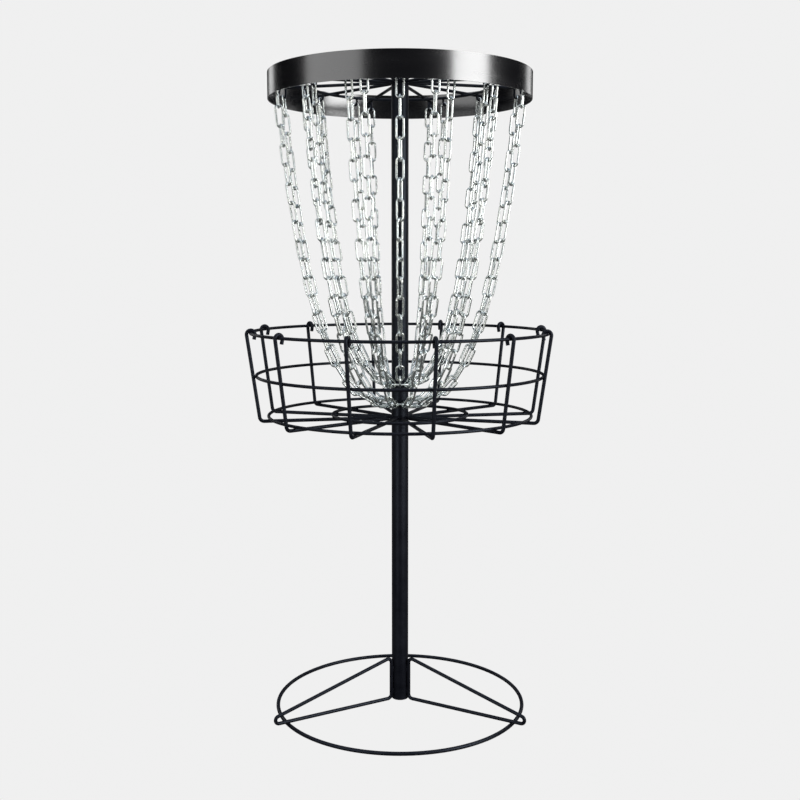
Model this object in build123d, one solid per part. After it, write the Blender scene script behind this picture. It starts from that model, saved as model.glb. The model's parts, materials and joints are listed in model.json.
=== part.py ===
"""Disc golf basket: wire base, slip-on mast, wire tray, chain band and 24 hanging chains.

Millimetres, +Z up. The origin is on the ground at the mast axis; azimuths are
counted from the front (-Y) and grow towards +X.
"""
import math
import os

from build123d import *

# ---- fits ---------------------------------------------------------------
WELD_GAP = 0.05           # left between wires that are welded together
SLIP_GAP = 0.15           # all round, between telescoping tubes
RUN_GAP = 0.3             # between the legs and the pole that lifts past them
LINK_PLAY = 0.35          # between one chain link and the next

# ---- base ---------------------------------------------------------------
BASE_RING_R = 266.0
BASE_RING_WIRE = 8.0
BASE_FLAT = 0.3           # depth of the worn flat the ring stands on
LEG_WIRE = 7.5
LEG_AZIMUTHS = (-60.0, 60.0, 180.0)
LEG_REACH = 296.0         # centre line of the outer bend
LEG_OUTER_BEND = 8.0
LEG_INNER_BEND = 9.0
LEG_TOP_Z = 103.0         # centre line at the top bend
SOCKET_OD = 33.3
SOCKET_BOTTOM_Z = 9.0
SOCKET_TOP_Z = 260.0

# ---- mast ---------------------------------------------------------------
POLE_OD = 35.6
POLE_WALL = 1.0
SOCKET_WALL = 1.5
POLE_BOTTOM_Z = 102.0
TRAY_HUB_BOTTOM_Z = 600.0
TRAY_HUB_TOP_Z = 655.0
COUPLER_REACH = 70.0      # into the pole above and the pole below the hub
SUPPORT_HUB_BOTTOM_Z = 1297.0
SUPPORT_HUB_TOP_Z = 1332.0
SUPPORT_SPIGOT = 45.0
CAP_THICKNESS = 4.0
CAP_PLUG = 10.0

# ---- tray ---------------------------------------------------------------
TRAY_WIRE = 7.5
RING_WIRE = 6.5
TRAY_WIRES = 12
TRAY_FIRST_AZIMUTH = -18.0
RIM_R = 312.3
RIM_Z = 811.7
MID_RING_Z = 722.3
SPOKE_Z = 630.0
LOWER_RING_R = 277.1
FLOOR_RING_R = 142.6
WALL_LEAN = 8.0           # degrees, closing towards the floor
TRAY_CORNER_BEND = 9.5
HOOK_END_ANGLE = 192.0    # how far each wall wire is wrapped over the rim
HOOK_TAIL = 9.0
HOOK_LOOSE = 1.5          # the hook is this much wider than the rim, each side

# ---- chain support ------------------------------------------------------
BAND_OD = 540.6
BAND_THICKNESS = 2.0
BAND_BOTTOM_Z = 1285.0
BAND_TOP_Z = 1337.0
SUPPORT_WIRE = 6.5
SUPPORT_Z = 1322.0
SUPPORT_END_Z = 1309.0
SUPPORT_BEND = 9.0
HANGER_WIRE = 6.0
HANGER_R = 190.0
HOOK_WIRE = 4.5
HOOK_BEND = 5.5
HOOK_CENTRE_Z = 1306.0
OUTER_HOOK_R = 255.0

# ---- chains -------------------------------------------------------------
STRANDS = 12              # in each of the two tiers
OUTER_FIRST_AZIMUTH = 15.0
INNER_FIRST_AZIMUTH = 0.0
LINK_WIRE = 4.3
LINK_WIDTH = 18.5
LINK_PITCH = 38.2
OUTER_LINKS = 19
INNER_LINKS = 17
CHAIN_RING_R = 25.4
CHAIN_RING_WIRE = 4.0
OUTER_RING_Z = 660.5
INNER_RING_Z = 702.0
COLLAR_OD = 40.0
COLLAR_HEIGHT = 6.0
COLLAR_TOP_Z = 691.0
COLLAR_SCREW = 3.0

FRONT = Plane(origin=(0, 0, 0), x_dir=(0, -1, 0), z_dir=(-1, 0, 0))


def save(name, shape):
    """Write one node to parts/ under its own name."""
    shape.label = name
    export_step(shape, f"parts/{name}.step")


def turned(shape, azimuth):
    """The same shape carried round the mast."""
    return Rot(0, 0, azimuth) * shape


def spaced(first, count):
    """Azimuths of count pieces spread evenly round the mast."""
    return [first + 360.0 * k / count for k in range(count)]


def tube(outer, wall, bottom, top):
    """Plain tube about the mast axis."""
    height = top - bottom
    body = Cylinder(outer / 2, height) - Cylinder(outer / 2 - wall, height)
    return Pos(0, 0, (bottom + top) / 2) * body


def ring(radius, wire, z):
    """Round wire ring about the mast axis."""
    return Pos(0, 0, z) * Torus(radius, wire / 2)


def swept(edges, wire):
    """Round wire along edges drawn in the front radial plane."""
    path = FRONT * Wire(edges)
    start = Plane(origin=path @ 0, z_dir=path % 0)
    return sweep(sections=start * Circle(wire / 2), path=path)


def toward(start, end, distance):
    """Point at a distance from start on the way to end."""
    span = math.dist(start, end)
    return tuple(a + (b - a) * distance / span for a, b in zip(start, end))


def bend_points(before, corner, after, radius):
    """Start, middle and end of the arc that rounds one corner."""
    to_before = math.atan2(before[1] - corner[1], before[0] - corner[0])
    to_after = math.atan2(after[1] - corner[1], after[0] - corner[0])
    half = abs(math.remainder(to_after - to_before, 2 * math.pi)) / 2
    tangent = radius / math.tan(half)
    start = toward(corner, before, tangent)
    end = toward(corner, after, tangent)
    chord_middle = ((start[0] + end[0]) / 2, (start[1] + end[1]) / 2)
    middle = toward(corner, chord_middle, radius / math.sin(half) - radius)
    return start, middle, end


def arc(start, middle, end):
    """Arc edge through three points of the drawing plane."""
    return Edge.make_three_point_arc(Vector(*start), Vector(*middle), Vector(*end))


def line(start, end):
    """Straight edge of the drawing plane."""
    return Edge.make_line(Vector(*start), Vector(*end))


def closed_outline(corners, radii):
    """Edges of a closed loop with every corner rounded."""
    count = len(corners)
    bends = []
    for k in range(count):
        before, after = corners[k - 1], corners[(k + 1) % count]
        bends.append(bend_points(before, corners[k], after, radii[k]))
    edges = []
    for k in range(count):
        edges.append(arc(*bends[k]))
        edges.append(line(bends[k][2], bends[(k + 1) % count][0]))
    return edges


# ---- base ---------------------------------------------------------------
def base_ring():
    """Ground ring with a narrow flat under it to stand on."""
    centre_z = BASE_RING_WIRE / 2 - BASE_FLAT
    below = Pos(0, 0, -BASE_RING_WIRE / 2) * Cylinder(BASE_RING_R + BASE_RING_WIRE, BASE_RING_WIRE)
    return ring(BASE_RING_R, BASE_RING_WIRE, centre_z) - below


def base_socket():
    """Sleeve as wide as the pole, which rests on it, and a spigot up inside the pole."""
    sleeve_wall = (POLE_OD - SOCKET_OD) / 2 + SOCKET_WALL
    sleeve = tube(POLE_OD, sleeve_wall, SOCKET_BOTTOM_Z, POLE_BOTTOM_Z - WELD_GAP)
    return sleeve + tube(SOCKET_OD, SOCKET_WALL, SOCKET_BOTTOM_Z, SOCKET_TOP_Z)


def base_leg():
    """Closed triangular loop from the socket out over the ground ring."""
    low_z = BASE_RING_WIRE - BASE_FLAT + LEG_WIRE / 2 + WELD_GAP
    stem_r = POLE_OD / 2 + LEG_WIRE / 2 + RUN_GAP
    bend_r = LEG_REACH - LEG_OUTER_BEND
    bend_z = low_z + LEG_OUTER_BEND
    rise, run = LEG_TOP_Z - LEG_INNER_BEND - bend_z, bend_r - stem_r - LEG_INNER_BEND
    shift = (LEG_OUTER_BEND - LEG_INNER_BEND) / math.hypot(rise, run)
    slope = math.atan2(rise, run) + math.asin(shift)
    outer_r = bend_r + LEG_OUTER_BEND / math.tan(slope / 2)
    top_z = low_z + (outer_r - stem_r) * math.tan(slope)
    corners = [(stem_r, low_z), (outer_r, low_z), (stem_r, top_z)]
    radii = [LEG_INNER_BEND, LEG_OUTER_BEND, LEG_INNER_BEND]
    return swept(closed_outline(corners, radii), LEG_WIRE)


# ---- tray ---------------------------------------------------------------
def wall_r(z):
    """Centre line of the wall wires at a height."""
    top_r, top_z = on_hook(-WALL_LEAN)
    return top_r - (top_z - z) * math.tan(math.radians(WALL_LEAN))


def on_hook(angle):
    """Point of the hook's centre line, which hangs on top of the rim wire."""
    turn = math.radians(angle)
    radius = (RING_WIRE + TRAY_WIRE) / 2 + WELD_GAP + HOOK_LOOSE
    return RIM_R + radius * math.cos(turn), RIM_Z - HOOK_LOOSE + radius * math.sin(turn)


def tray_wire():
    """One wire: hooked over the rim, down the wall, in along the floor."""
    start, end = on_hook(HOOK_END_ANGLE), on_hook(-WALL_LEAN)
    turn = math.radians(HOOK_END_ANGLE)
    tail = (start[0] - HOOK_TAIL * math.sin(turn), start[1] + HOOK_TAIL * math.cos(turn))
    inner = (POLE_OD / 2 + WELD_GAP, SPOKE_Z)
    corner = (wall_r(SPOKE_Z), SPOKE_Z)
    bend = bend_points(end, corner, inner, TRAY_CORNER_BEND)
    edges = [
        line(tail, start),
        arc(start, on_hook((HOOK_END_ANGLE - WALL_LEAN) / 2), end),
        line(end, bend[0]),
        arc(*bend),
        line(bend[2], inner),
    ]
    return swept(edges, TRAY_WIRE)


def tray_rings():
    """Rim, middle, lower and floor rings of the tray."""
    beside = (TRAY_WIRE + RING_WIRE) / 2 + WELD_GAP
    on_spokes = SPOKE_Z + beside
    mid_r = wall_r(MID_RING_Z) - beside / math.cos(math.radians(WALL_LEAN))
    return {
        "rim_ring": ring(RIM_R, RING_WIRE, RIM_Z),
        "mid_ring": ring(mid_r, RING_WIRE, MID_RING_Z),
        "lower_ring": ring(LOWER_RING_R, RING_WIRE, on_spokes),
        "floor_ring": ring(FLOOR_RING_R, RING_WIRE, on_spokes),
    }


# ---- mast ---------------------------------------------------------------
def support_hub():
    """Tube the support spokes meet, with a spigot down into the pole."""
    bore = POLE_OD - 2 * POLE_WALL
    head = tube(POLE_OD, POLE_WALL, SUPPORT_HUB_BOTTOM_Z, SUPPORT_HUB_TOP_Z)
    spigot_od = bore - 2 * SLIP_GAP
    spigot = tube(spigot_od, SOCKET_WALL, SUPPORT_HUB_BOTTOM_Z - SUPPORT_SPIGOT, SUPPORT_HUB_BOTTOM_Z + 6)
    neck = tube(bore + 1, SOCKET_WALL + SLIP_GAP + 0.5, SUPPORT_HUB_BOTTOM_Z, SUPPORT_HUB_BOTTOM_Z + 6)
    return head + neck + spigot


def pole_cap():
    """Domed plug that closes the top of the mast."""
    bottom = SUPPORT_HUB_TOP_Z + WELD_GAP
    head = Cylinder(POLE_OD / 2, CAP_THICKNESS)
    head = fillet(head.edges().group_by(Axis.Z)[-1], CAP_THICKNESS * 0.8)
    plug_r = POLE_OD / 2 - POLE_WALL - SLIP_GAP
    plug = Pos(0, 0, -(CAP_THICKNESS + CAP_PLUG) / 2) * Cylinder(plug_r, CAP_PLUG)
    return Pos(0, 0, bottom + CAP_THICKNESS / 2) * (head + plug)


def stop_collar():
    """Collar clamped on the pole under the inner chain ring, and its screws."""
    collar = tube(COLLAR_OD, (COLLAR_OD - POLE_OD) / 2 - WELD_GAP, COLLAR_TOP_Z - COLLAR_HEIGHT, COLLAR_TOP_Z)
    screws = []
    for azimuth in (90.0, 270.0):
        length = (COLLAR_OD - POLE_OD) / 2 - 2 * WELD_GAP
        centre = FRONT * Pos(POLE_OD / 2 + WELD_GAP + length / 2, COLLAR_TOP_Z - COLLAR_HEIGHT / 2, 0)
        hole = turned(centre * Rot(0, 90, 0) * Cylinder(COLLAR_SCREW / 2 + WELD_GAP, 3 * length), azimuth)
        collar = collar - hole
        screws.append(turned(centre * Rot(0, 90, 0) * Cylinder(COLLAR_SCREW / 2, length), azimuth))
    return collar, Compound(children=screws)


# ---- chain support ------------------------------------------------------
def support_spoke():
    """Wire from the hub to the band, bent down along the band's inside."""
    wall = BAND_OD / 2 - BAND_THICKNESS - SUPPORT_WIRE / 2 - SLIP_GAP
    inner = (POLE_OD / 2 + WELD_GAP, SUPPORT_Z)
    corner = (wall, SUPPORT_Z)
    tip = (wall, SUPPORT_END_Z)
    bend = bend_points(inner, corner, tip, SUPPORT_BEND)
    return swept([line(inner, bend[0]), arc(*bend), line(bend[2], tip)], SUPPORT_WIRE)


def hanger_z():
    """Height of the ring that carries the inner chains, under the spokes."""
    return SUPPORT_Z - SUPPORT_WIRE / 2 - HANGER_WIRE / 2 - WELD_GAP


def chain_hook(centre_r, top_z):
    """J-shaped hook: stem towards the mast, open to the outside."""
    stem_r, tip_r = centre_r - HOOK_BEND, centre_r + HOOK_BEND
    edges = [
        line((stem_r, top_z), (stem_r, HOOK_CENTRE_Z)),
        arc((stem_r, HOOK_CENTRE_Z), (centre_r, HOOK_CENTRE_Z - HOOK_BEND), (tip_r, HOOK_CENTRE_Z)),
    ]
    return swept(edges, HOOK_WIRE)


def inner_hook_r():
    """Where the inner chains hang, just outside their ring."""
    return HANGER_R + HOOK_BEND


def chain_hooks():
    """All the hooks: outer ones under the spokes, inner ones under the hanger ring."""
    outer = chain_hook(OUTER_HOOK_R, SUPPORT_Z - SUPPORT_WIRE / 2 - WELD_GAP)
    inner = chain_hook(inner_hook_r(), hanger_z() - HANGER_WIRE / 2 - WELD_GAP)
    hooks = [turned(outer, azimuth) for azimuth in spaced(OUTER_FIRST_AZIMUTH, STRANDS)]
    hooks += [turned(inner, azimuth) for azimuth in spaced(INNER_FIRST_AZIMUTH, STRANDS)]
    return Compound(children=hooks)


# ---- chains -------------------------------------------------------------
def link():
    """One welded link, long axis on X, lying in the XY plane."""
    bend_r = (LINK_WIDTH - LINK_WIRE) / 2
    half = (LINK_PITCH + LINK_WIRE + LINK_PLAY) / 2 - bend_r
    edges = [
        line((-half, -bend_r), (half, -bend_r)),
        arc((half, -bend_r), (half + bend_r, 0), (half, bend_r)),
        line((half, bend_r), (-half, bend_r)),
        arc((-half, bend_r), (-half - bend_r, 0), (-half, -bend_r)),
    ]
    path = Wire(edges)
    start = Plane(origin=path @ 0, z_dir=path % 0)
    return sweep(sections=start * Circle(LINK_WIRE / 2), path=path)


def catenary(top, bottom, length):
    """Scale, lowest point and start arc of the curve a chain hangs in."""
    across, drop = top[0] - bottom[0], top[1] - bottom[1]
    spread = math.sqrt(length ** 2 - drop ** 2)
    low, high = across / 40, across * 40
    for _ in range(80):
        scale = math.sqrt(low * high)
        if 2 * scale * math.sinh(across / (2 * scale)) > spread:
            low = scale
        else:
            high = scale
    middle = (top[0] + bottom[0]) / 2
    lowest_r = middle - scale * math.asinh(drop / spread)
    start = scale * math.sinh((top[0] - lowest_r) / scale)
    return scale, lowest_r, start


def hanging(top, bottom, links):
    """Points where the links of a strand meet, in its radial plane."""
    length = links * LINK_PITCH
    scale, lowest_r, start = catenary(top, bottom, length)
    offset = top[1] - scale * math.cosh((top[0] - lowest_r) / scale)
    points = []
    for k in range(links + 1):
        r = lowest_r + scale * math.asinh((start - k * LINK_PITCH) / scale)
        points.append((r, scale * math.cosh((r - lowest_r) / scale) + offset))
    return points


def strand_points(hook_r, ring_z, links):
    """Meeting points from the hook down to the chain ring."""
    wire_gap = (LINK_WIRE + LINK_PLAY) / 2
    hang = HOOK_WIRE / 2 + LINK_PLAY + LINK_WIRE / 2
    top = (hook_r, HOOK_CENTRE_Z - HOOK_BEND + hang - wire_gap)
    reach = (CHAIN_RING_WIRE + LINK_WIRE) / 2 + LINK_PLAY - wire_gap
    bottom = (CHAIN_RING_R, ring_z)
    for _ in range(4):
        points = hanging(top, bottom, links)
        bottom = toward((CHAIN_RING_R, ring_z), extended(points), reach)
    return hanging(top, bottom, links)


def extended(points):
    """A point further on in the direction of the last link."""
    (r0, z0), (r1, z1) = points[-2:]
    return CHAIN_RING_R + r1 - r0, points[-1][1] + z1 - z0


def strand(points, twist_sign):
    """Links on their points: the top one faces outwards, the last one is edge-on."""
    count = len(points) - 1
    step = 90.0 + twist_sign * 90.0 / (count - 1)
    one = link()
    links = []
    for k in range(count):
        start = FRONT.from_local_coords(Vector(*points[k]))
        end = FRONT.from_local_coords(Vector(*points[k + 1]))
        along = (end - start).normalized()
        across = Vector(1, 0, 0)
        turn = math.radians(90.0 + k * step)
        normal = across * math.cos(turn) + along.cross(across) * math.sin(turn)
        place = Plane(origin=(start + end) * 0.5, x_dir=along, z_dir=normal)
        links.append(place.location * one)
    return Compound(children=links)


def main():
    os.makedirs("parts", exist_ok=True)
    bore = POLE_OD - 2 * POLE_WALL
    save("base_ring", base_ring())
    leg = base_leg()
    for name, azimuth in zip(("left", "right", "rear"), LEG_AZIMUTHS):
        save(f"base_leg_{name}", turned(leg, azimuth))
    save("base_socket", base_socket())

    save("lower_pole", tube(POLE_OD, POLE_WALL, POLE_BOTTOM_Z, TRAY_HUB_BOTTOM_Z - WELD_GAP))
    save("tray_hub", tube(POLE_OD, POLE_WALL, TRAY_HUB_BOTTOM_Z, TRAY_HUB_TOP_Z))
    save("upper_pole", tube(POLE_OD, POLE_WALL, TRAY_HUB_TOP_Z + WELD_GAP, SUPPORT_HUB_BOTTOM_Z - WELD_GAP))
    coupler_bottom, coupler_top = TRAY_HUB_BOTTOM_Z - COUPLER_REACH, TRAY_HUB_TOP_Z + COUPLER_REACH
    save("pole_coupler", tube(bore - 2 * WELD_GAP, SOCKET_WALL, coupler_bottom, coupler_top))
    save("support_hub", support_hub())
    save("pole_cap", pole_cap())
    collar, screws = stop_collar()
    save("stop_collar", collar)
    save("collar_screws", screws)

    for name, shape in tray_rings().items():
        save(name, shape)
    wire = tray_wire()
    for k, azimuth in enumerate(spaced(TRAY_FIRST_AZIMUTH, TRAY_WIRES), 1):
        save(f"tray_wire_{k:02d}", turned(wire, azimuth))

    save("chain_band", tube(BAND_OD, BAND_THICKNESS, BAND_BOTTOM_Z, BAND_TOP_Z))
    spoke = support_spoke()
    spokes = [turned(spoke, azimuth) for azimuth in spaced(OUTER_FIRST_AZIMUTH, STRANDS)]
    save("support_spokes", Compound(children=spokes))
    save("hanger_ring", ring(HANGER_R, HANGER_WIRE, hanger_z()))
    save("chain_hooks", chain_hooks())
    save("outer_chain_ring", ring(CHAIN_RING_R, CHAIN_RING_WIRE, OUTER_RING_Z))
    save("inner_chain_ring", ring(CHAIN_RING_R, CHAIN_RING_WIRE, INNER_RING_Z))

    tiers = (
        ("outer", OUTER_HOOK_R, OUTER_RING_Z, OUTER_LINKS, OUTER_FIRST_AZIMUTH),
        ("inner", inner_hook_r(), INNER_RING_Z, INNER_LINKS, INNER_FIRST_AZIMUTH),
    )
    for tier, hook_r, ring_z, links, first in tiers:
        points = strand_points(hook_r, ring_z, links)
        for k, azimuth in enumerate(spaced(first, STRANDS), 1):
            twist = 1 if k % 2 else -1
            save(f"{tier}_chain_{k:02d}", turned(strand(points, twist), azimuth))


main()
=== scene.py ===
"""Disc golf basket: materials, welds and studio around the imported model."""
import json
import math

import bmesh
import bpy
from mathutils import Matrix, Vector


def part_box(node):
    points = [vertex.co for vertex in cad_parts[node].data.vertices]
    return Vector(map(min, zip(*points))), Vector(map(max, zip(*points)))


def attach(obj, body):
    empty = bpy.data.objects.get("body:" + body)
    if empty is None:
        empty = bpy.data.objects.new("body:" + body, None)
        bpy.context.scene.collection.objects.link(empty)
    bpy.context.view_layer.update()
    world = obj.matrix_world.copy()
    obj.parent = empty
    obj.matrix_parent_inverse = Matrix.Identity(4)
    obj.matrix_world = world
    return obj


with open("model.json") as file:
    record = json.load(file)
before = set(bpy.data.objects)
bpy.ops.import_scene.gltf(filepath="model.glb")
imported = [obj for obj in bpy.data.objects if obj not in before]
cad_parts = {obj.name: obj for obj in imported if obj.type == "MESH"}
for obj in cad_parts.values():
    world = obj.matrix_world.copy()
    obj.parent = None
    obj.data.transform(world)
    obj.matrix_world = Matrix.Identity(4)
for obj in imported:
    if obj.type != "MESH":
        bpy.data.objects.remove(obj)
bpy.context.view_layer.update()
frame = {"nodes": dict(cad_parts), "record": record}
NODES = frame["nodes"]
MM = 0.001
WELD_DISTANCE = 0.001 * MM    # vertices this close are one vertex


# ---- places read from the frame -------------------------------------------
def box(node):
    """Lowest and highest corner of a node, as vectors."""
    low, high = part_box(node)
    return Vector(low), Vector(high)


def ring_size(node):
    """Centre-line radius, height and wire radius of a ring about the mast."""
    low, high = box(node)
    wire = (high.z - low.z) / 2
    return (high.x - low.x) / 2 - wire, (low.z + high.z) / 2, wire


def azimuth_of(node):
    """Azimuth from the front of a node's vertex that is furthest out."""
    far = max(NODES[node].data.vertices, key=lambda v: v.co.x ** 2 + v.co.y ** 2).co
    return math.atan2(far.x, -far.y)


def islands(node):
    """Vertices of each separate solid of a node."""
    mesh = bmesh.new()
    mesh.from_mesh(NODES[node].data)
    bmesh.ops.remove_doubles(mesh, verts=mesh.verts, dist=WELD_DISTANCE)
    seen = set()
    groups = []
    for first in mesh.verts:
        if first in seen:
            continue
        seen.add(first)
        stack = [first]
        group = []
        while stack:
            vertex = stack.pop()
            group.append(vertex.co.copy())
            for edge in vertex.link_edges:
                other = edge.other_vert(vertex)
                if other not in seen:
                    seen.add(other)
                    stack.append(other)
        groups.append(group)
    mesh.free()
    return groups


def at(radius, azimuth, z):
    """Point round the mast, azimuth from the front."""
    return Vector((radius * math.sin(azimuth), -radius * math.cos(azimuth), z))


def directions(azimuth):
    """Unit vectors away from the mast and round it, at an azimuth."""
    return at(1, azimuth, 0), Vector((math.cos(azimuth), math.sin(azimuth), 0))


# ---- materials ------------------------------------------------------------
def shader(name, color, metallic, ior=1.45, coat=0.0, coat_roughness=0.1):
    """New material with a Principled shader; returns material, nodes and links."""
    material = bpy.data.materials.new(name)
    material.use_nodes = True
    nodes, links = material.node_tree.nodes, material.node_tree.links
    principled = nodes["Principled BSDF"]
    principled.inputs["Base Color"].default_value = (*color, 1)
    principled.inputs["Metallic"].default_value = metallic
    principled.inputs["IOR"].default_value = ior
    principled.inputs["Coat Weight"].default_value = coat
    principled.inputs["Coat Roughness"].default_value = coat_roughness
    return material, nodes, links


NOISE_LOW, NOISE_HIGH = 0.3, 0.7     # where most of a noise's values lie
TINT_DARK, TINT_LIGHT = 0.35, 0.65   # noise values of a tint's two colours


def noise(nodes, links, scale, detail, stretch=(1, 1, 1)):
    """Noise in object space, its output between 0 and 1."""
    place = nodes.new("ShaderNodeTexCoord")
    mapping = nodes.new("ShaderNodeMapping")
    mapping.inputs["Scale"].default_value = stretch
    texture = nodes.new("ShaderNodeTexNoise")
    texture.inputs["Scale"].default_value = scale
    texture.inputs["Detail"].default_value = detail
    links.new(place.outputs["Object"], mapping.inputs["Vector"])
    links.new(mapping.outputs["Vector"], texture.inputs["Vector"])
    return texture.outputs["Fac"]


def remap(nodes, links, value, low, high):
    """The middle range of a noise spread to low and high."""
    node = nodes.new("ShaderNodeMapRange")
    node.inputs["From Min"].default_value = NOISE_LOW
    node.inputs["From Max"].default_value = NOISE_HIGH
    node.inputs["To Min"].default_value = low
    node.inputs["To Max"].default_value = high
    links.new(value, node.inputs["Value"])
    return node.outputs["Result"]


def tint(nodes, links, value, dark, light):
    """Colour that runs from dark to light with value."""
    ramp = nodes.new("ShaderNodeValToRGB")
    ramp.color_ramp.elements[0].position = TINT_DARK
    ramp.color_ramp.elements[0].color = (*dark, 1)
    ramp.color_ramp.elements[1].position = TINT_LIGHT
    ramp.color_ramp.elements[1].color = (*light, 1)
    links.new(value, ramp.inputs["Fac"])
    return ramp.outputs["Color"]


def bump(nodes, links, height, strength, distance):
    """Fine relief on the shader's normal."""
    node = nodes.new("ShaderNodeBump")
    node.inputs["Strength"].default_value = strength
    node.inputs["Distance"].default_value = distance
    links.new(height, node.inputs["Height"])
    links.new(node.outputs["Normal"], nodes["Principled BSDF"].inputs["Normal"])


def powder_coat():
    """Satin black powder coat with a fine orange peel."""
    material, nodes, links = shader("powder_coat", (0.008, 0.008, 0.011), 0.0)
    patches = noise(nodes, links, 35, 3)
    principled = nodes["Principled BSDF"]
    principled.inputs["Specular IOR Level"].default_value = 0.24
    principled.inputs["Specular Tint"].default_value = (0.7, 0.82, 1, 1)
    shade = tint(nodes, links, patches, (0.003, 0.003, 0.005), (0.006, 0.006, 0.009))
    links.new(shade, principled.inputs["Base Color"])
    links.new(remap(nodes, links, patches, 0.34, 0.46), principled.inputs["Roughness"])
    bump(nodes, links, noise(nodes, links, 900, 2), 0.12, 0.0002)
    return material


def band_paint():
    """Gloss black paint on rolled sheet, very slightly wavy."""
    material, nodes, links = shader("band_paint", (0.003, 0.003, 0.004), 0.0,
                                    ior=1.6, coat=1.0, coat_roughness=0.2)
    principled = nodes["Principled BSDF"]
    principled.inputs["Coat IOR"].default_value = 1.7
    streaks = noise(nodes, links, 9, 4, stretch=(1, 1, 6))
    links.new(remap(nodes, links, streaks, 0.2, 0.28), principled.inputs["Roughness"])
    bump(nodes, links, noise(nodes, links, 14, 2, stretch=(1, 1, 3)), 0.12, 0.004)
    return material


def zinc():
    """Bright zinc plate with a faint cool and yellow passivation."""
    material, nodes, links = shader("zinc_plate", (0.72, 0.74, 0.73), 1.0)
    cloud = noise(nodes, links, 60, 3)
    principled = nodes["Principled BSDF"]
    shade = tint(nodes, links, cloud, (0.60, 0.65, 0.66), (0.84, 0.86, 0.81))
    links.new(shade, principled.inputs["Base Color"])
    links.new(remap(nodes, links, cloud, 0.16, 0.32), principled.inputs["Roughness"])
    bump(nodes, links, noise(nodes, links, 1200, 2), 0.10, 0.0002)
    return material


def moulded_plastic():
    """Black moulded plastic with a fine grain."""
    material, nodes, links = shader("moulded_plastic", (0.015, 0.015, 0.016), 0.0, ior=1.46)
    grain = noise(nodes, links, 1500, 2)
    links.new(remap(nodes, links, grain, 0.42, 0.6), nodes["Principled BSDF"].inputs["Roughness"])
    bump(nodes, links, grain, 0.2, 0.0002)
    return material


def dark_steel():
    """Blackened steel of the set screws."""
    material, nodes, links = shader("dark_steel", (0.10, 0.10, 0.11), 1.0)
    worn = noise(nodes, links, 500, 3)
    links.new(remap(nodes, links, worn, 0.25, 0.45), nodes["Principled BSDF"].inputs["Roughness"])
    bump(nodes, links, worn, 0.1, 0.0001)
    return material


def paint_nodes():
    """Each CAD node takes the material of its record slot."""
    made = {
        "frame": powder_coat(),
        "band": band_paint(),
        "chain": zinc(),
        "cap": moulded_plastic(),
        "screw": dark_steel(),
    }
    for sub in frame["record"]["subparts"]:
        for slot in NODES[sub["node"]].material_slots:
            slot.material = made[sub["material_slot"]]
    return made


# ---- welds ----------------------------------------------------------------
UP = Vector((0, 0, 1))

# Half sizes of the beads: along, across and outward.
TRAY_BEAD = (2.6 * MM, 2.6 * MM, 1.3 * MM)
HANGER_BEAD = (2.4 * MM, 2.4 * MM, 1.2 * MM)
BAND_BEAD = (6 * MM, 1.2 * MM, 1.2 * MM)
GROUND_BEAD = (3.2 * MM, 3.2 * MM, 1.6 * MM)
SOCKET_BEAD = (8 * MM, 1.5 * MM, 1.5 * MM)

# Fillets round a wire's end: radius and thickness, and how far off the hub.
TRAY_FILLET = (3.9 * MM, 0.9 * MM)
SUPPORT_FILLET = (3.4 * MM, 0.8 * MM)
HOOK_FILLET = (2.2 * MM, 0.8 * MM)
FILLET_OFF = 0.4 * MM

TRAY_WIRE_R = 3.75 * MM           # radii of the tray's and the support's wires
SUPPORT_WIRE_R = 3.25 * MM
SPOKE_STEP = math.radians(15)     # the support spokes lie on multiples of this
BAND_INSET = 3.2 * MM             # from the band's outside to its beads
BAND_BEAD_DROP = 4 * MM           # below the middle of a spoke's end
BAND_BEAD_SIDE = 2.6 * MM         # to each side of the spoke
HOOK_TOP = 0.2 * MM               # depth of the hook's end face vertices
SOCKET_BEAD_Z = (28 * MM, 76 * MM)
SOCKET_BEAD_OFF = 0.9 * MM        # from the socket
SOCKET_BEAD_SIDE = 2.3 * MM       # to each side of the leg


def bead(mesh, centre, outward, along, sizes):
    """One weld: a ball squashed to sizes along, across and outward."""
    z = outward.normalized()
    x = along.normalized()
    turn = Matrix((x, z.cross(x), z)).transposed().to_4x4()
    place = Matrix.Translation(centre) @ turn @ Matrix.Diagonal((*sizes, 1))
    bmesh.ops.create_icosphere(mesh, subdivisions=2, radius=1, matrix=place)


def collar_bead(mesh, centre, axis, radius, thickness):
    """Fillet weld round the end of a wire: a ring of metal about its axis."""
    turn = axis.to_track_quat("Z", "Y").to_matrix().to_4x4()
    place = Matrix.Translation(centre) @ turn
    around, section = 20, 8
    rings = []
    for k in range(around):
        a = 2 * math.pi * k / around
        loop = []
        for m in range(section):
            b = 2 * math.pi * m / section
            r = radius + thickness * math.cos(b)
            point = Vector((r * math.cos(a), r * math.sin(a), thickness * math.sin(b)))
            loop.append(mesh.verts.new(place @ point))
        rings.append(loop)
    for k in range(around):
        for m in range(section):
            here, after = rings[k], rings[(k + 1) % around]
            n = (m + 1) % section
            mesh.faces.new((here[m], after[m], after[n], here[n]))


def weld_piece(name, body, material, build):
    """Object made of the beads that build adds, riding on a body."""
    mesh = bmesh.new()
    build(mesh)
    bmesh.ops.recalc_face_normals(mesh, faces=mesh.faces)
    for face in mesh.faces:
        face.smooth = True
    data = bpy.data.meshes.new(name)
    mesh.to_mesh(data)
    mesh.free()
    data.materials.append(material)
    piece = bpy.data.objects.new(name, data)
    bpy.context.scene.collection.objects.link(piece)
    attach(piece, body)


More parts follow.
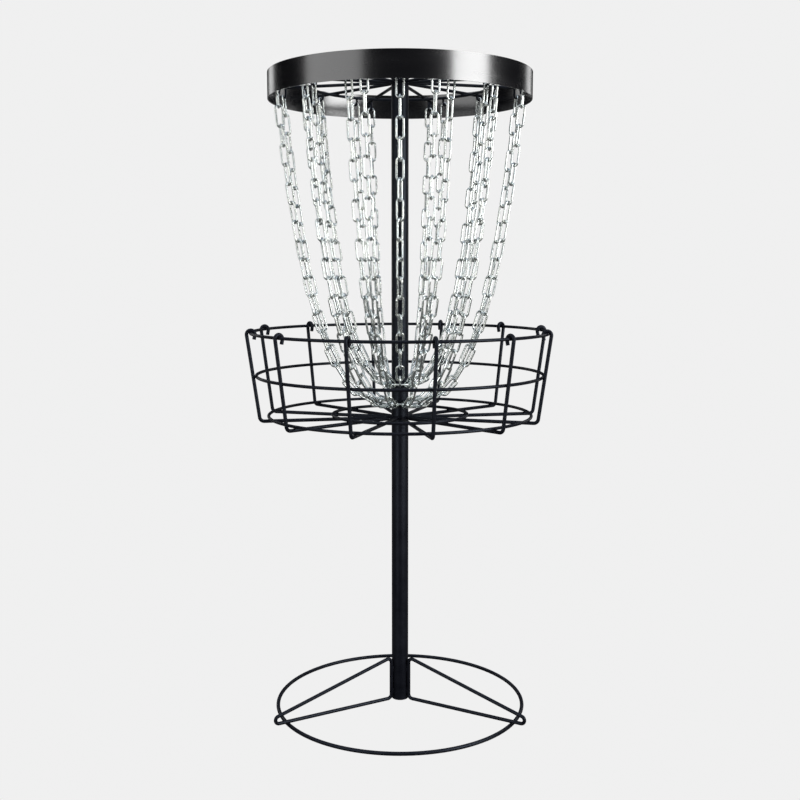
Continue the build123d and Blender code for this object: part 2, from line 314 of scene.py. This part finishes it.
def tray_welds(mesh):
    """Where each tray wire meets the four rings and the hub."""
    rim_r, rim_z, wire = ring_size("rim_ring")
    mid_r, mid_z, _ = ring_size("mid_ring")
    hub_r = box("tray_hub")[1].x
    for name in sorted(n for n in NODES if n.startswith("tray_wire_")):
        azimuth = azimuth_of(name)
        out, sideways = directions(azimuth)
        bead(mesh, at(rim_r, azimuth, rim_z + wire), UP, sideways, TRAY_BEAD)
        bead(mesh, at(mid_r + wire, azimuth, mid_z), out, sideways, TRAY_BEAD)
        for ring in ("lower_ring", "floor_ring"):
            r, z, _ = ring_size(ring)
            bead(mesh, at(r, azimuth, z - wire), UP, sideways, TRAY_BEAD)
        spoke_z = box(name)[0].z + TRAY_WIRE_R
        collar_bead(mesh, at(hub_r + FILLET_OFF, azimuth, spoke_z), out, *TRAY_FILLET)


def support_welds(mesh):
    """Where the support spokes meet the hub, the hanger ring and the band."""
    hub_r = box("support_hub")[1].x
    hang_r, hang_z, hang_wire = ring_size("hanger_ring")
    band_r = box("chain_band")[1].x - BAND_INSET
    for solid in islands("support_spokes"):
        far = max(solid, key=lambda v: v.x ** 2 + v.y ** 2)
        azimuth = round(math.atan2(far.x, -far.y) / SPOKE_STEP) * SPOKE_STEP
        out, sideways = directions(azimuth)
        top = max(v.z for v in solid)
        low = min(v.z for v in solid)
        hub_end = at(hub_r + FILLET_OFF, azimuth, top - SUPPORT_WIRE_R)
        collar_bead(mesh, hub_end, out, *SUPPORT_FILLET)
        bead(mesh, at(hang_r, azimuth, hang_z + hang_wire), UP, sideways, HANGER_BEAD)
        band_end = at(band_r, azimuth, (top + low) / 2 - BAND_BEAD_DROP)
        for side in (-1, 1):
            bead(mesh, band_end + sideways * side * BAND_BEAD_SIDE, out, UP, BAND_BEAD)


def hook_welds(mesh):
    """Fillet round the top of every chain hook."""
    for solid in islands("chain_hooks"):
        top = max(v.z for v in solid)
        ends = [v for v in solid if v.z > top - HOOK_TOP]
        centre = sum(ends, Vector()) / len(ends)
        collar_bead(mesh, centre, UP, *HOOK_FILLET)


def base_welds(mesh):
    """Where each leg meets the ground ring and the socket."""
    ring_r, _, _ = ring_size("base_ring")
    ring_top = box("base_ring")[1].z
    socket_r = box("base_socket")[1].x
    for name in ("base_leg_left", "base_leg_right", "base_leg_rear"):
        azimuth = azimuth_of(name)
        out, sideways = directions(azimuth)
        bead(mesh, at(ring_r, azimuth, ring_top), UP, sideways, GROUND_BEAD)
        for z in SOCKET_BEAD_Z:
            stem = at(socket_r + SOCKET_BEAD_OFF, azimuth, z)
            for side in (-1, 1):
                bead(mesh, stem + sideways * side * SOCKET_BEAD_SIDE, out, UP, SOCKET_BEAD)


# ---- studio ---------------------------------------------------------------
BACKDROP = 0.87           # what the camera sees behind the object
FLOOR_FILL = 0.12         # what the object sees of the floor
ROOM_DARK = 0.004         # the studio's walls, as the object reflects them
ROOM_TOP = (0.85, 0.92, 1.05, 1)
ROOM_RISE = (0.4, 0.9)    # how steeply up the walls end and the ceiling begins
FLOOR_SIZE = 60
FLOOR_DROP = 0.5 * MM     # keeps the floor off the base ring
LIGHT_AIM = Vector((0, 0, 1))

# Softboxes: azimuth, distance, height, width and height of the light, radiance.
SOFTBOXES = {
    "side_right": (59, 3.0, 1.5, (1.75, 2.2), 8.0),
    "side_left": (-56, 3.0, 1.5, (2.9, 2.2), 1.6),
    "low_left": (-35, 2.6, 0.25, (1.0, 0.5), 6.0),
    "low_right": (35, 2.6, 0.25, (0.8, 0.5), 4.5),
    "back_right": (140, 3.2, 1.5, (0.8, 2.0), 1.2),
    "back_left": (-140, 3.2, 1.5, (0.8, 2.0), 1.2),
    "front_top": (-10, 2.4, 3.6, (2.2, 1.0), 1.2),
}

CAMERA_PLACE = (0, -2.254, 0.948)
CAMERA_DOWN = 7.11        # degrees below level
LENS, SENSOR = 48.15, 36


def camera_only(nodes, links, seen, reflected):
    """Picks seen for what the camera looks at and reflected for the rest."""
    path = nodes.new("ShaderNodeLightPath")
    mix = nodes.new("ShaderNodeMixShader")
    links.new(path.outputs["Is Camera Ray"], mix.inputs["Fac"])
    links.new(reflected, mix.inputs[1])
    links.new(seen, mix.inputs[2])
    return mix.outputs["Shader"]


def emission(nodes, strength):
    """White light of a given strength."""
    node = nodes.new("ShaderNodeEmission")
    node.inputs["Color"].default_value = (1, 1, 1, 1)
    node.inputs["Strength"].default_value = strength
    return node.outputs["Emission"]


def studio_floor():
    """Pale floor, lit like a light table so that it runs into the background."""
    bpy.ops.mesh.primitive_plane_add(size=FLOOR_SIZE, location=(0, 0, -FLOOR_DROP))
    floor = bpy.context.object
    floor.name = "floor"
    material = bpy.data.materials.new("floor")
    material.use_nodes = True
    nodes, links = material.node_tree.nodes, material.node_tree.links
    nodes.remove(nodes["Principled BSDF"])
    both = camera_only(nodes, links, emission(nodes, BACKDROP), emission(nodes, FLOOR_FILL))
    links.new(both, nodes["Material Output"].inputs["Surface"])
    floor.data.materials.append(material)


def studio_room():
    """Flat pale background; the object itself reflects a dark room with a light ceiling."""
    world = bpy.data.worlds.new("studio")
    world.use_nodes = True
    nodes, links = world.node_tree.nodes, world.node_tree.links
    seen = nodes["Background"]
    seen.inputs["Color"].default_value = (BACKDROP, BACKDROP, BACKDROP, 1)
    direction = nodes.new("ShaderNodeTexCoord")
    split = nodes.new("ShaderNodeSeparateXYZ")
    ramp = nodes.new("ShaderNodeValToRGB")
    ramp.color_ramp.elements[0].position = ROOM_RISE[0]
    ramp.color_ramp.elements[0].color = (ROOM_DARK, ROOM_DARK, ROOM_DARK, 1)
    ramp.color_ramp.elements[1].position = ROOM_RISE[1]
    ramp.color_ramp.elements[1].color = ROOM_TOP
    room = nodes.new("ShaderNodeBackground")
    links.new(direction.outputs["Generated"], split.inputs["Vector"])
    links.new(split.outputs["Z"], ramp.inputs["Fac"])
    links.new(ramp.outputs["Color"], room.inputs["Color"])
    both = camera_only(nodes, links, seen.outputs["Background"], room.outputs["Background"])
    links.new(both, nodes["World Output"].inputs["Surface"])
    bpy.context.scene.world = world


def softbox(name, azimuth, distance, height, size, radiance):
    """Rectangular light of a given brightness, facing the object."""
    data = bpy.data.lights.new(name, "AREA")
    data.shape = "RECTANGLE"
    data.size, data.size_y = size
    data.energy = radiance * math.pi * size[0] * size[1]
    light = bpy.data.objects.new(name, data)
    light.location = at(distance, math.radians(azimuth), height)
    aim = LIGHT_AIM - light.location
    light.rotation_euler = aim.to_track_quat("-Z", "Y").to_euler()
    bpy.context.scene.collection.objects.link(light)


def studio_lights():
    """Softboxes at both sides and low in front, weaker ones behind and above."""
    for name, setting in SOFTBOXES.items():
        softbox(name, *setting)
    bpy.context.scene.view_settings.view_transform = "Standard"


def camera():
    """Camera in front, a little above the tray, looking slightly down."""
    data = bpy.data.cameras.new("camera")
    data.lens = LENS
    data.sensor_width = SENSOR
    view = bpy.data.objects.new("camera", data)
    view.location = CAMERA_PLACE
    view.rotation_euler = (math.radians(90 - CAMERA_DOWN), 0, 0)
    bpy.context.scene.collection.objects.link(view)
    bpy.context.scene.camera = view


made = paint_nodes()
weld_piece("tray_welds", "mast", made["frame"], tray_welds)
weld_piece("support_welds", "mast", made["frame"], support_welds)
weld_piece("hook_welds", "mast", made["frame"], hook_welds)
weld_piece("base_welds", "base", made["frame"], base_welds)
studio_floor()
studio_room()
studio_lights()
camera()
